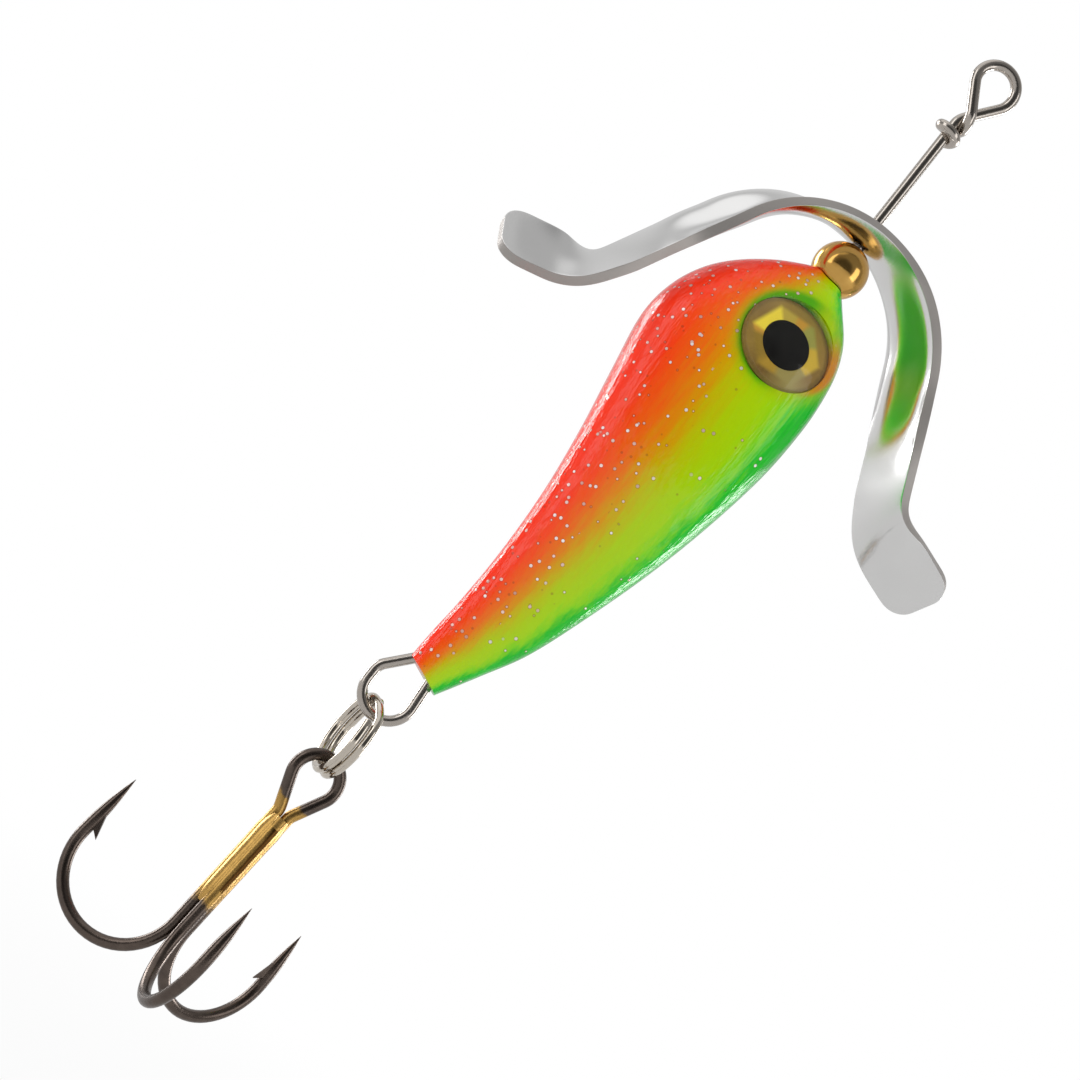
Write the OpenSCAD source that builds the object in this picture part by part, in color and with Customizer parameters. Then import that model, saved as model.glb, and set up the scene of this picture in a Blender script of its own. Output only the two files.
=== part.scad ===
// In-line propeller lure: a painted cast body with a propeller turning on the wire ahead of it
// Origin in the middle of the line eye, +Z up the shaft, +X toward the belly, -Y out of the right flank

/* [Wire] */
// Diameter of the stainless wire of the shaft and the tail loop
wire_d = 0.7; // [0.55:0.05:0.85]
// Radius of the line eye, to the middle of the wire
line_eye_r = 1.55; // [1.25:0.05:1.9]
// Turns that the wrap makes round the shaft
wrap_turns = 1.2; // [1:0.1:1.5]
// Drop of the wrap in one turn
wrap_pitch = 1.8; // [1.5:0.1:2.2]
// Distance from the middle of the line eye to the nose of the body
nose_drop = 18.45; // [16.5:0.05:22]
// Radius of the tail loop, to the middle of the wire
tail_loop_r = 1.9; // [1.8:0.05:2.3]

/* [Bead] */
// Diameter of the bead
bead_d = 4; // [3.4:0.1:4.8]
// How far the bead stands out of the nose
bead_stand = 3.25; // [2.8:0.05:3.9]

/* [Propeller] */
// Width of the strip
strip_w = 4.9; // [4.2:0.1:5.8]
// Thickness of the strip
strip_t = 0.75; // [0.6:0.05:0.9]
// Depth of the gutter pressed into the strip
gutter = 0.9; // [0.8:0.1:1.1]
// Radius of the crown, where the strip passes over the bead
crown_r = 9.6; // [8.2:0.1:11.4]
// Slope of the arms below the level
arm_angle = 64; // [56:1:70]
// Straight length of an arm
arm_l = 8.5; // [7.2:0.1:10.2]
// Radius of the bend between an arm and its paddle
foot_r = 5.2; // [4.4:0.1:6.2]
// Slope of the paddles below the level
paddle_angle = 17; // [14:1:20]
// Length of a paddle
paddle_l = 4.7; // [4:0.1:5.6]
// Twist of the arms
arm_twist = 17; // [14:1:20]
// Twist of the paddles
paddle_twist = 47; // [40:1:56]
// How far the propeller stands turned on its wire
propeller_turn = 14; // [0:1:20]

/* [Body] */
// Length from the nose to the tail
body_l = 38; // [34:0.5:46]
// Depth from the back to the belly
body_h = 13.4; // [12.4:0.1:15]
// Thickness across the flanks
body_t = 9.8; // [9.2:0.1:11.8]

/* [Eyes] */
// Diameter of an eye
eye_d = 6.5; // [5.4:0.1:7]
// Diameter of a pupil
pupil_d = 3.3; // [2.8:0.1:4]
// Height of the lens dome above its rim
lens_dome = 0.9; // [0.7:0.1:1.1]

/* [Split ring] */
// Outer diameter of the ring
ring_d = 6.4; // [6:0.1:7.6]
// Diameter of the ring's wire
ring_wire_d = 0.55; // [0.45:0.05:0.6]

/* [Hook] */
// Diameter of the hook's wire
hook_wire_d = 0.85; // [0.7:0.05:1]
// Radius of the hook's eye, to the middle of the wire
hook_eye_r = 1.65; // [1.5:0.05:1.95]
// Length of the shanks between the hook's eye and the bends
shank_l = 9.5; // [8.1:0.1:11.4]
// Radius of the bends, to the middle of the wire
bend_r = 4.4; // [3.7:0.1:5.2]
// Length of the spear points
spear_l = 4.6; // [3.9:0.1:5.5]
// How far the hook leans from hanging straight
hook_lean = 4; // [0:1:6]

/* [Hidden] */
$fn = 48;
wire_gap = 0.46;         // room between the turns of a wound wire
cast_gap = 0.01;         // room round the wires in the casting
run_gap = 0.1;           // running room round the shaft and between the links of the chain
join = 0.98;             // a bent stretch of wire starts this much thinner inside its straight one
join_l = 0.5;
wire_sides = 10;
bend_step = 9;

// Line eye and shaft
line_eye_x = 0.3*line_eye_r;
shaft_top = -1.7*line_eye_r;
wrap_r = wire_d + wire_gap;
wrap_top = shaft_top - 0.85;
wrap_from = 330;         // where the wrap starts, counted about the shaft from the belly side
wrap_step = 15;
shaft_l = nose_drop + 15;
shaft_foot_r = 1.2;
shaft_foot_l = 2;

// Bead in its seat in the nose
bead_z = -nose_drop - bead_d/2 + bead_stand;
shaft_bore = wire_d + 2*run_gap;

// Propeller, lying on the bead
crown_z = bead_z + bead_d/2 + run_gap + strip_t/2 + gutter;
crown_s = crown_r*arm_angle*PI/180;
arm_s = crown_s + arm_l;
foot_s = arm_s + foot_r*(arm_angle - paddle_angle)*PI/180;
tip_s = foot_s + paddle_l;
tip_round = 1.35;
strip_step = 0.9;
across = 8;              // steps across the strip
bore_turn = 33;          // keeps the bore's seam off the edges of the strip's faces

// Body stations, in hundredths: way from nose to tail, back, belly, half of the thickness
body_stations = [
    [0, -14, 7, 14], [3.5, -30, 15, 23], [8, -45, 25, 31], [13, -56, 31, 39], [19, -63, 34, 46.5],
    [26, -65, 35, 50], [36, -60, 33.5, 49], [49, -53, 27.5, 44], [62, -48, 19, 35.5], [75, -46, 8, 26],
    [86, -46.5, -3, 20], [94, -48, -15, 16.5], [104, -49, -31, 14]
];
body_steps = 4;          // rings from one station to the next
body_sides = 40;
body_square = 2.8;       // 2 makes the section an ellipse, more makes it fuller
tail_z = -nose_drop - body_l;
tail_x = -0.4*body_h;
tail_slope = 22;

// Eyes, each square to its flank
eye_x = 0.2;
eye_drop = 6.6;          // below the nose
eye_y = 0.435*body_t;
eye_pitch = 20;
eye_yaw = 12;
eye_sink = 0.95;
eye_gap = 0.02;
foil_t = 0.25;
pupil_t = 0.1;
lens_rim = 0.35;
lens_r = (pow(eye_d/2, 2) + pow(lens_dome, 2))/(2*lens_dome);

// Tail loop: a half ring below two legs that run up into the casting
loop_x = -0.475*body_h;
leg_gap = wire_d + 0.5;  // from the middle of one leg to the other
leg_l = 3.5;             // length of the legs in the casting
leg_bend_r = wire_d;
back_leg_turn = 62;
belly_leg_turn = 14;
belly_leg_x = loop_x + tail_loop_r - 0.1;
back_leg_x = belly_leg_x - leg_gap;
back_leg_z = tail_z;
// A leg steps sideways with a bend, a straight run and a bend back
function step_run(sideways, turn) = (sideways - 2*leg_bend_r*(1 - cos(turn)))/sin(turn);
function step_rise(sideways, turn) = 2*leg_bend_r*sin(turn) + step_run(sideways, turn)*cos(turn);
back_step = back_leg_x - loop_x + tail_loop_r;
belly_step = loop_x + tail_loop_r - belly_leg_x;
loop_z = back_leg_z - step_rise(back_step, back_leg_turn);
belly_leg_z = loop_z + step_rise(belly_step, belly_leg_turn);

// Split ring, hanging on the tail loop
chain_turn = 16;
ring_r = (ring_d - ring_wire_d)/2;
ring_pitch = ring_wire_d + wire_gap;
ring_top = loop_z - sqrt(pow(tail_loop_r - (wire_d + ring_wire_d)/2 - run_gap, 2) - pow(ring_pitch/2, 2));
ring_z = ring_top - ring_r;
ring_cross_at = 65;      // where one turn steps across to the next, counted up from the right flank
ring_cross = 25;         // half of the angle that the step takes
ring_step = 10;
ring_from = ring_cross + 14;

// Hook, hanging on the split ring: its three shanks stand in a triangle
hook_drop = sqrt(pow(hook_eye_r - (hook_wire_d + ring_wire_d)/2 - run_gap, 2) - pow(ring_pitch/2, 2));
hook_z = ring_z - ring_r - hook_drop;
shank_gap = hook_wire_d + 0.05;
bundle_r = shank_gap/sqrt(3);
neck_r = 3.2;
neck_turn = acos((shank_gap/2 + neck_r)/(neck_r + hook_eye_r));
neck_z = -(neck_r + hook_eye_r)*sin(neck_turn);
bend_turn = 183;
point_d = 0.06;
point_steps = 4;
barb = [1.05, 1.9, 0.4]; // reach, length and thickness of a barb
braze_r = 0.92*hook_wire_d;
braze_l = 0.8*shank_l;
single_cut = 0.15;       // how far the single hook's shank ends below the necks

// General shapes

function unit(v) = v/norm(v);
function ease(f) = let (g = min(1, max(0, f))) g*g*(3 - 2*g);
function power(v, e) = sign(v)*pow(abs(v), e);

// Smooth curve through points: place u counts from the first point, in points
function through(p, u) =
    let (
        last = len(p) - 1,
        i = min(floor(u), last - 1),
        f = u - i,
        a = p[max(i - 1, 0)],
        b = p[i],
        c = p[i + 1],
        d = p[min(i + 2, last)]
    )
    b + f*(c - a)/2 + f*f*(2*a - 5*b + 4*c - d)/2 + f*f*f*(3*b - a - 3*c + d)/2;

// Skin over rings of as many points each, closed with flat ends
module skin(rings) {
    n = len(rings[0]);
    last = len(rings) - 1;
    points = [for (ring = rings) each ring];
    sides = [
        for (i = [0:last - 1], j = [0:n - 1])
            let (a = i*n + j, b = i*n + (j + 1) % n)
                each [[a, b, a + n], [b, b + n, a + n]]
    ];
    // Each end is a ladder from side to side
    ladder = [for (j = [0:n/2 - 2]) each [[j, j + 1, n - 2 - j], [j, n - 2 - j, n - 1 - j]]];
    ends = [for (t = ladder) each [[t[0], t[2], t[1]], [for (k = t) last*n + k]]];
    polyhedron(points, concat(sides, ends), convexity = 6);
}

// Direction of a path at each of its points
function headings(path) = [
    for (i = [0:len(path) - 1])
        unit(path[min(i + 1, len(path) - 1)] - path[max(i - 1, 0)])
];

// A direction square to each heading, carried along so that it doesn't turn about the path
function carried(heads, v, i = 0) =
    let (w = unit(v - (v*heads[i])*heads[i]))
        i == len(heads) - 1 ? [w] : concat([w], carried(heads, w, i + 1));

// Round wire along a path in space, whose first square direction is given; d is one diameter, or one a point
module wire_along(path, d, square) {
    heads = headings(path);
    squares = carried(heads, square);
    skin([
        for (i = [0:len(path) - 1])
            let (u = squares[i], v = cross(heads[i], u), r = (is_list(d) ? d[i] : d)/2)
                [for (k = [0:wire_sides - 1])
                    let (a = -360*k/wire_sides) path[i] + r*(cos(a)*u + sin(a)*v)]
    ]);
}

// Least room between stretches of one wire that are at least so many points apart
function own_gap(path, d, apart) = min([
    for (i = [0:len(path) - apart - 1], j = [i + apart:len(path) - 1]) norm(path[i] - path[j]) - d
]);

// Points of a path bent in the XZ plane, after its first point at, which it leaves at heading a from +Z
// toward +X. A move is [length] or [radius, turn], and a turn adds to the heading
function bent(moves, at, a, i = 0) =
    i == len(moves) ? [] :
    len(moves[i]) == 1 ?
        let (p = at + moves[i][0]*[sin(a), 0, cos(a)]) concat([p], bent(moves, p, a, i + 1)) :
        let (
            r = moves[i][0]*sign(moves[i][1]),
            turn = moves[i][1],
            middle = at + r*[cos(a), 0, -sin(a)],
            n = ceil(abs(turn)/bend_step),
            arc = [for (k = [1:n]) let (b = a + turn*k/n) middle - r*[cos(b), 0, -sin(b)]]
        )
        concat(arc, bent(moves, arc[n - 1], a + turn, i + 1));

// Shaft wire, from the line eye down into the casting

function about_shaft(turn, r, z) = [r*cos(turn), r*sin(turn), z];

// Legs of the line eye leave it where they touch it, drawn from the top of the shaft
eye_lean = atan(line_eye_x/-shaft_top);
eye_open = asin(line_eye_r/norm([line_eye_x, shaft_top]));
eye_start = -eye_lean - eye_open;
eye_end = 180 + eye_open - eye_lean;
eye_count = 12;
line_eye_guides = concat(
    [for (f = [1.5, 1, 0.5]) [0, 0, shaft_top - f*wire_d]],
    [[0.55*line_eye_r, 0, shaft_top + 0.55*line_eye_r]],
    [for (i = [0:eye_count])
        let (f = i/eye_count, a = eye_start + f*(eye_end - eye_start))
            [line_eye_x + line_eye_r*cos(a), -0.6*wrap_r*ease(f), line_eye_r*sin(a)]],
    [about_shaft(250, wrap_r, wrap_top + 1.35), about_shaft(290, wrap_r, wrap_top + 0.55)]
);
line_eye_curve = [
    for (u = [0:1/3:len(line_eye_guides) - 1]) through(line_eye_guides, u)
];
wrap_curve = [
    for (a = [wrap_from:wrap_step:wrap_from + 360*wrap_turns])
        about_shaft(a, wrap_r, wrap_top - wrap_pitch*(a - 360)/360)
];
wrap_tail = wrap_curve[len(wrap_curve) - 1];
wrap_head = unit(wrap_tail - wrap_curve[len(wrap_curve) - 2]);
line_eye_path = concat(line_eye_curve, wrap_curve, [wrap_tail + wire_d*wrap_head]);
shaft_by_wrap = [for (z = [wrap_tail.z - wire_d:0.2:shaft_top - wire_d]) [0, 0, z]];
echo(wrap_least_gap = own_gap(concat(shaft_by_wrap, line_eye_path), wire_d, 12));

// Straight stretch below the line eye, with a foot bent over in the casting
module shaft_run(d) {
    translate([0, 0, -shaft_l]) cylinder(d = d, h = shaft_l + shaft_top - wire_d);
    translate([-shaft_foot_r, 0, -shaft_l]) rotate([-90, 0, 0])
        rotate_extrude(angle = 90) translate([shaft_foot_r, 0]) circle(d = d);
    translate([-shaft_foot_r, 0, -shaft_l - shaft_foot_r]) rotate([0, -90, 0])
        cylinder(d = d, h = shaft_foot_l);
}

module shaft_wire() {
    color("lightsteelblue") {
        shaft_run(wire_d);
        wire_along(line_eye_path, join*wire_d, [1, 0, 0]);
    }
}

// Propeller

// Middle of the strip at a length s from the shaft, with the slope and the twist there
function strip_slope(s) =
    s < crown_s ? arm_angle*s/crown_s :
    s < arm_s ? arm_angle :
    s < foot_s ? arm_angle + (paddle_angle - arm_angle)*(s - arm_s)/(foot_s - arm_s) :
    paddle_angle;
function strip_twist(s) =
    s < crown_s ? arm_twist*s/crown_s :
    arm_twist + (paddle_twist - arm_twist)*ease((s - arm_s)/(foot_s - arm_s));
function strip_middle(s) =
    let (
        crown = crown_r*[sin(strip_slope(min(s, crown_s))), cos(strip_slope(min(s, crown_s))) - 1],
        arm = (min(max(s, crown_s), arm_s) - crown_s)*[cos(arm_angle), -sin(arm_angle)],
        a = strip_slope(min(max(s, arm_s), foot_s)),
        foot = foot_r*[sin(arm_angle) - sin(a), cos(arm_angle) - cos(a)],
        paddle = (max(s, foot_s) - foot_s)*[cos(paddle_angle), -sin(paddle_angle)],
        at = crown + arm + foot + paddle
    )
    [at.x, 0, crown_z + at.y];
function strip_depth(s) = gutter*ease((foot_s - s)/(foot_s - crown_s));
function strip_half(s) =
    let (f = max(0, (s - tip_s + tip_round)/tip_round))
        strip_w/2*(1 - 0.55*(1 - sqrt(max(0, 1 - f*f))));

// Cross-section of one arm at length s, up the outer face and back down the inner one
function strip_ring(s) =
    let (
        slope = strip_slope(s),
        out = [sin(slope), 0, cos(slope)],
        side = cos(strip_twist(s))*[0, 1, 0] - sin(strip_twist(s))*out,
        face = cos(strip_twist(s))*out + sin(strip_twist(s))*[0, 1, 0],
        half = strip_half(s),
        middle = strip_middle(s),
        curve = [for (i = [0:across]) let (v = 2*i/across - 1) [v*half, -strip_depth(s)*(1 - v*v)]],
        lean = [for (i = [0:across]) let (v = 2*i/across - 1) atan(2*strip_depth(s)*v/half)]
    )
    concat(
        [for (i = [0:across])
            let (p = curve[i] + strip_t/2*[-sin(lean[i]), cos(lean[i])]) middle + p.x*side + p.y*face],
        [for (i = [across:-1:0])
            let (p = curve[i] - strip_t/2*[-sin(lean[i]), cos(lean[i])]) middle + p.x*side + p.y*face]
    );
function half_turn(p) = [-p.x, -p.y, p.z];
// The other arm is the same one turned half round, so its ring runs the other way across
function other_ring(s) =
    let (ring = strip_ring(s), n = across + 1)
        concat([for (i = [across:-1:0]) half_turn(ring[i])], [for (i = [2*n - 1:-1:n]) half_turn(ring[i])]);

strip_lengths = concat(
    [for (s = [strip_step:strip_step:tip_s - tip_round]) s],
    [for (f = [0:0.2:1]) tip_s - tip_round + tip_round*sin(90*f)]
);

module propeller() {
    rings = concat(
        [for (i = [len(strip_lengths) - 1:-1:0]) other_ring(strip_lengths[i])],
        [strip_ring(0)],
        [for (s = strip_lengths) strip_ring(s)]
    );
    color("silver") rotate(propeller_turn) difference() {
        skin(rings);
        translate([0, 0, crown_z - 2*gutter]) rotate(bore_turn) cylinder(d = shaft_bore, h = 3*gutter);
    }
}

// Bead

module bead() {
    color("gold") difference() {
        translate([0, 0, bead_z]) sphere(d = bead_d);
        translate([0, 0, bead_z - bead_d]) cylinder(d = shaft_bore, h = 2*bead_d);
    }
}

// Body

function body_ring(u) =
    let (
        at = through(body_stations, u)/100,
        middle = body_h*(at[1] + at[2])/2,
        half = body_h*(at[2] - at[1])/2
    )
    [for (k = [0:body_sides - 1])
        let (a = -360*(k + 0.5)/body_sides)
            [middle + half*power(cos(a), 2/body_square), body_t*at[3]*power(sin(a), 2/body_square),
             -nose_drop - body_l*at[0]]];

module body() {
    color("orange") difference() {
        skin([for (u = [len(body_stations) - 1:-1/body_steps:0]) body_ring(u)]);
        translate([0, 0, bead_z]) sphere(r = bead_d/2 + run_gap);
        shaft_run(wire_d + 2*cast_gap);
        tail_legs(wire_d + 2*cast_gap);
        translate([tail_x, 0, tail_z]) rotate([0, tail_slope, 0])
            translate([-body_h, -body_t, -body_h]) cube([2*body_h, 2*body_t, body_h]);
        for (side = [0, 1])
            at_eye(side) cylinder(d = eye_d + 2*eye_gap, h = body_t);
    }
}

// Eyes: side 0 is the right flank, side 1 the left; the children stand on the floor of the socket

module at_eye(side) {
    mirror([0, side, 0]) translate([eye_x, -eye_y, -nose_drop - eye_drop])
        rotate(eye_yaw) rotate([90 - eye_pitch, 0, 0]) translate([0, 0, -eye_sink]) children();
}

module eye_foil(side) {
    color("goldenrod") at_eye(side) cylinder(d = eye_d, h = foil_t);
}

module eye_pupil(side) {
    color("black") at_eye(side) translate([0, 0, foil_t]) cylinder(d = pupil_d, h = pupil_t);
}

module eye_lens(side) {
    color([0.9, 0.9, 0.8, 0.5]) at_eye(side) translate([0, 0, foil_t]) difference() {
        intersection() {
            cylinder(d = eye_d, h = lens_rim + lens_dome);
            translate([0, 0, lens_rim + lens_dome - lens_r]) sphere(r = lens_r);
        }
        translate([0, 0, -pupil_t]) cylinder(d = pupil_d + 2*eye_gap, h = 2*pupil_t);
    }
}

// Tail loop

// Straight legs in the casting
module tail_legs(d) {
    translate([back_leg_x, 0, back_leg_z]) cylinder(d = d, h = leg_l);
    translate([belly_leg_x, 0, belly_leg_z]) cylinder(d = d, h = leg_l);
}

tail_loop_start = [back_leg_x, 0, back_leg_z + join_l];
tail_loop_moves = [
    [join_l], [leg_bend_r, back_leg_turn], [step_run(back_step, back_leg_turn)], [leg_bend_r, -back_leg_turn],
    [tail_loop_r, -180], [leg_bend_r, -belly_leg_turn], [step_run(belly_step, belly_leg_turn)],
    [leg_bend_r, belly_leg_turn], [join_l]
];
tail_loop_path = concat([tail_loop_start], bent(tail_loop_moves, tail_loop_start, 180));

module tail_loop() {
    color("lightsteelblue") {
        tail_legs(wire_d);
        wire_along(tail_loop_path, join*wire_d, [0, 1, 0]);
    }
}

// Split ring: two turns side by side, with a step across where the first meets the second

function ring_point(a) =
    let (
        across = ring_pitch*(0.5 - ease((a - 360 + ring_cross)/(2*ring_cross))),
        up = a + ring_cross_at
    )
    [across, -ring_r*cos(up), ring_r*sin(up)];
ring_curve = [for (a = [ring_from:ring_step:720 - ring_from]) ring_point(a)];
ring_heads = headings(ring_curve);
ring_path = concat(
    [ring_curve[0] - ring_wire_d*ring_heads[0]],
    ring_curve,
    [ring_curve[len(ring_curve) - 1] + ring_wire_d*ring_heads[len(ring_curve) - 1]]
);
echo(ring_least_gap = own_gap(ring_path, ring_wire_d, 18));

module split_ring() {
    color("gainsboro") translate([loop_x, 0, ring_z]) rotate(chain_turn)
        wire_along(ring_path, ring_wire_d, [1, 0, 0]);
}

// Hook

module at_hook() {
    translate([loop_x, 0, hook_z]) rotate(chain_turn) rotate([0, hook_lean, 0]) children();
}

// Bend and spear point below a shank that ends at the origin, bending toward +X
bend_moves = [[join_l], [bend_r, -bend_turn], for (k = [1:point_steps]) [spear_l/point_steps]];
bend_path = let (start = [0, 0, join_l])
    concat([start], bent(bend_moves, start, 180));
bend_d = let (last = len(bend_path) - 1) [
    for (i = [0:last]) hook_wire_d*join - (hook_wire_d*join - point_d)*max(0, 1 - (last - i)/point_steps)
];
bend_end = bend_path[len(bend_path) - 1 - point_steps];

module bend_and_point() {
    wire_along(bend_path, bend_d, [0, 1, 0]);
    // Barb, cut up out of the spear on the side of the shank
    translate(bend_end) rotate([0, 180 - bend_turn, 0]) rotate([90, 0, 0])
        translate([0, 0, -barb.z/2]) linear_extrude(barb.z)
            polygon([[0, barb.y/3], [-barb.x, 0], [-hook_wire_d/4, barb.y]]);
}

// One shank with its bend and point, in the bundle's triangle at a given angle
module hook_limb(angle, length) {
    translate([0, -bundle_r/2, neck_z - shank_l]) rotate(angle) translate([bundle_r, 0, 0]) {
        cylinder(d = hook_wire_d, h = length);
        bend_and_point();
    }
}

hook_eye_start = [-shank_gap/2, 0, neck_z - join_l];
hook_eye_moves = [
    [join_l], [neck_r, -neck_turn], [hook_eye_r, 180 + 2*neck_turn], [neck_r, -neck_turn], [join_l]
];
hook_eye_path = concat([hook_eye_start], bent(hook_eye_moves, hook_eye_start, 0));

module double_hook() {
    color("dimgray") at_hook() {
        wire_along(hook_eye_path, join*hook_wire_d, [0, 1, 0]);
        hook_limb(30, shank_l);
        hook_limb(150, shank_l);
    }
}

module single_hook() {
    color("dimgray") at_hook() hook_limb(-90, shank_l - single_cut);
}

module hook_braze() {
    color("peru") at_hook() translate([0, -bundle_r/2, neck_z - single_cut - braze_l]) difference() {
        cylinder(r = braze_r, h = braze_l);
        for (angle = [-90, 30, 150])
            rotate(angle) translate([bundle_r, 0, -1])
                cylinder(d = hook_wire_d + 2*cast_gap, h = braze_l + 2);
    }
}

shaft_wire();
propeller();
bead();
body();
eye_foil(0);  // right_eye_foil
eye_pupil(0);  // right_eye_pupil
eye_lens(0);  // right_eye_lens
eye_foil(1);  // left_eye_foil
eye_pupil(1);  // left_eye_pupil
eye_lens(1);  // left_eye_lens
tail_loop();
split_ring();
double_hook();
single_hook();
hook_braze();
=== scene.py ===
# %% [markdown]
# # An in-line propeller lure
#
# The lure hangs from a wire eye. A painted casting in a minnow's shape sits on the wire, a bent strip of
# plated sheet turns above it on a brass bead, and a treble hook follows on a split ring. This notebook
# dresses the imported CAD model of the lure: every visible piece is modelled again at its place with finer
# faces, and gets a finish made of shader nodes. A piece is written in millimetres and scaled once, when
# it is done.

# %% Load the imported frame
import math

import bmesh
import bpy
from mathutils import Matrix, Vector


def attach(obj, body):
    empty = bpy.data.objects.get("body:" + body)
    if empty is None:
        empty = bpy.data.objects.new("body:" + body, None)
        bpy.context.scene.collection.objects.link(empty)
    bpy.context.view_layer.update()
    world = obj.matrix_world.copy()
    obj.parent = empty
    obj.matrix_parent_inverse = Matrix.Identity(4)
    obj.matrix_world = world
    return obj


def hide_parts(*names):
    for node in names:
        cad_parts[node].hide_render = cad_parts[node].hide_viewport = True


MM = 0.001
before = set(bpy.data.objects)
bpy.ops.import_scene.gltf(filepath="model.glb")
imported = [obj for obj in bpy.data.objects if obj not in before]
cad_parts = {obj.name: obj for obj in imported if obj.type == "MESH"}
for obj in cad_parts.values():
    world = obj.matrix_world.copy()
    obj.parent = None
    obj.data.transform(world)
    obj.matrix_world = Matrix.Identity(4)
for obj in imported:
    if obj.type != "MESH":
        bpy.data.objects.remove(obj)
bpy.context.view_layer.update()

# %% [markdown]
# ## Camera
#
# The lure was photographed from a little below the level of its middle, about 150 mm away, and the
# picture is rolled so that the shaft runs to the upper right. A camera could be aimed with a constraint,
# but a roll is then hard to set. Its own axes are its right, its up and its back, so here those three
# directions are the columns of its matrix. A 75 mm lens on a 36 mm sensor sees 72 mm at that distance.

# %% Camera
LOOK_UP, ROLL = math.radians(8), math.radians(38.46)
AIM = Vector((-4.58, 0, -44.65)) * MM
CAMERA_FAR = 150 * MM
LENS, SENSOR = 75, 36
scene = bpy.context.scene


def in_scene(name, data):
    """An object of a mesh, a lamp or a camera, linked into the scene."""
    made = bpy.data.objects.new(name, data)
    scene.collection.objects.link(made)
    return made


ahead = Vector((0, math.cos(LOOK_UP), math.sin(LOOK_UP)))
level = Vector((1, 0, 0))
upward = level.cross(ahead)
cam_right = level * math.cos(ROLL) + upward * math.sin(ROLL)
cam_up = upward * math.cos(ROLL) - level * math.sin(ROLL)
axes = Matrix((cam_right, cam_up, -ahead)).transposed().to_4x4()
camera = in_scene("camera", bpy.data.cameras.new("camera"))
camera.matrix_world = Matrix.Translation(AIM - CAMERA_FAR * ahead) @ axes
camera.data.lens = LENS
camera.data.sensor_width = SENSOR
camera.data.clip_start = 10 * MM
scene.camera = camera
scene.view_settings.view_transform = "Standard"
print("camera at", [round(v / MM, 1) for v in camera.matrix_world.translation])

# %% [markdown]
# ## Writing shaders as sums
#
# A finish is a tree of nodes. Laying out each sum node by node is hard to read, so one small class stands
# for a node's output and turns Python's operators into Math nodes: 1 - mask then means what it says.

# %% Feeds
class Feed:
    """An output of a shader node, on which sums can be written."""

    def __init__(self, tree, socket):
        self.tree = tree
        self.socket = socket

    def out(self, name):
        """Another output of the same node."""
        return Feed(self.tree, self.socket.node.outputs[name])

    def sum(self, operation, *others):
        values = dict(enumerate((self, *others)))
        return self.tree.add("ShaderNodeMath", {"operation": operation}, values)

    def __add__(self, other):
        return self.sum("ADD", other)

    def __sub__(self, other):
        return self.sum("SUBTRACT", other)

    def __mul__(self, other):
        return self.sum("MULTIPLY", other)

    def __truediv__(self, other):
        return self.sum("DIVIDE", other)

    def __pow__(self, other):
        return self.sum("POWER", other)

    def __rsub__(self, other):
        return self * -1 + other

    __radd__ = __add__
    __rmul__ = __mul__

    def rising(self, low, high):
        """0 up to low, 1 from high on, and smooth in between."""
        span = {"Value": self, "From Min": low, "From Max": high}
        return self.tree.add("ShaderNodeMapRange", {"interpolation_type": "SMOOTHSTEP"}, span)


print("a feed adds a Math node for each of + - * / **")

# %% [markdown]
# ## Colours and finishes
#
# Colours are easier to judge as screen values from 0 to 255, so they are written that way and turned into
# light here. Every node comes from one method, add, which takes the node's type, its settings and what
# goes into its sockets. The short methods after it name the nodes that come up again and again.

# %% Colours
WHITE = (1, 1, 1, 1)


def paint(red, green, blue):
    """A colour written as on a screen, from 0 to 255, as the light that it sends."""
    light = [v / 255 for v in (red, green, blue)]
    return (*[v / 12.92 if v < 0.04 else ((v + 0.055) / 1.055) ** 2.4 for v in light], 1)


def dimmed(colour, share):
    """A darker tone of a colour."""
    return [share * v for v in colour[:3]] + [1]


print("half grey on a screen sends", [round(v, 2) for v in paint(128, 128, 128)[:3]])

# %% Trees of nodes
class Tree:
    """The shader nodes of a material or of the world."""

    def __init__(self, name, owner=None):
        self.owner = owner or bpy.data.materials.new(name)
        self.owner.use_nodes = True
        self.nodes = self.owner.node_tree.nodes
        self.links = self.owner.node_tree.links
        self.nodes.clear()

    def add(self, kind, settings=None, sockets=None, out=0):
        node = self.nodes.new(kind)
        for name, value in (settings or {}).items():
            if name == "stops":
                ramp = node.color_ramp
                while len(ramp.elements) < len(value):
                    ramp.elements.new(1)
                for element, (place, colour) in zip(ramp.elements, value):
                    element.position = place
                    element.color = colour
            elif name == "between_stops":
                node.color_ramp.interpolation = value
            else:
                setattr(node, name, value)
        for name, value in (sockets or {}).items():
            if isinstance(value, Feed):
                self.links.new(value.socket, node.inputs[name])
            else:
                node.inputs[name].default_value = value
        return Feed(self, node.outputs[out]) if node.outputs else None


print("a tree takes materials and worlds")

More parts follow.
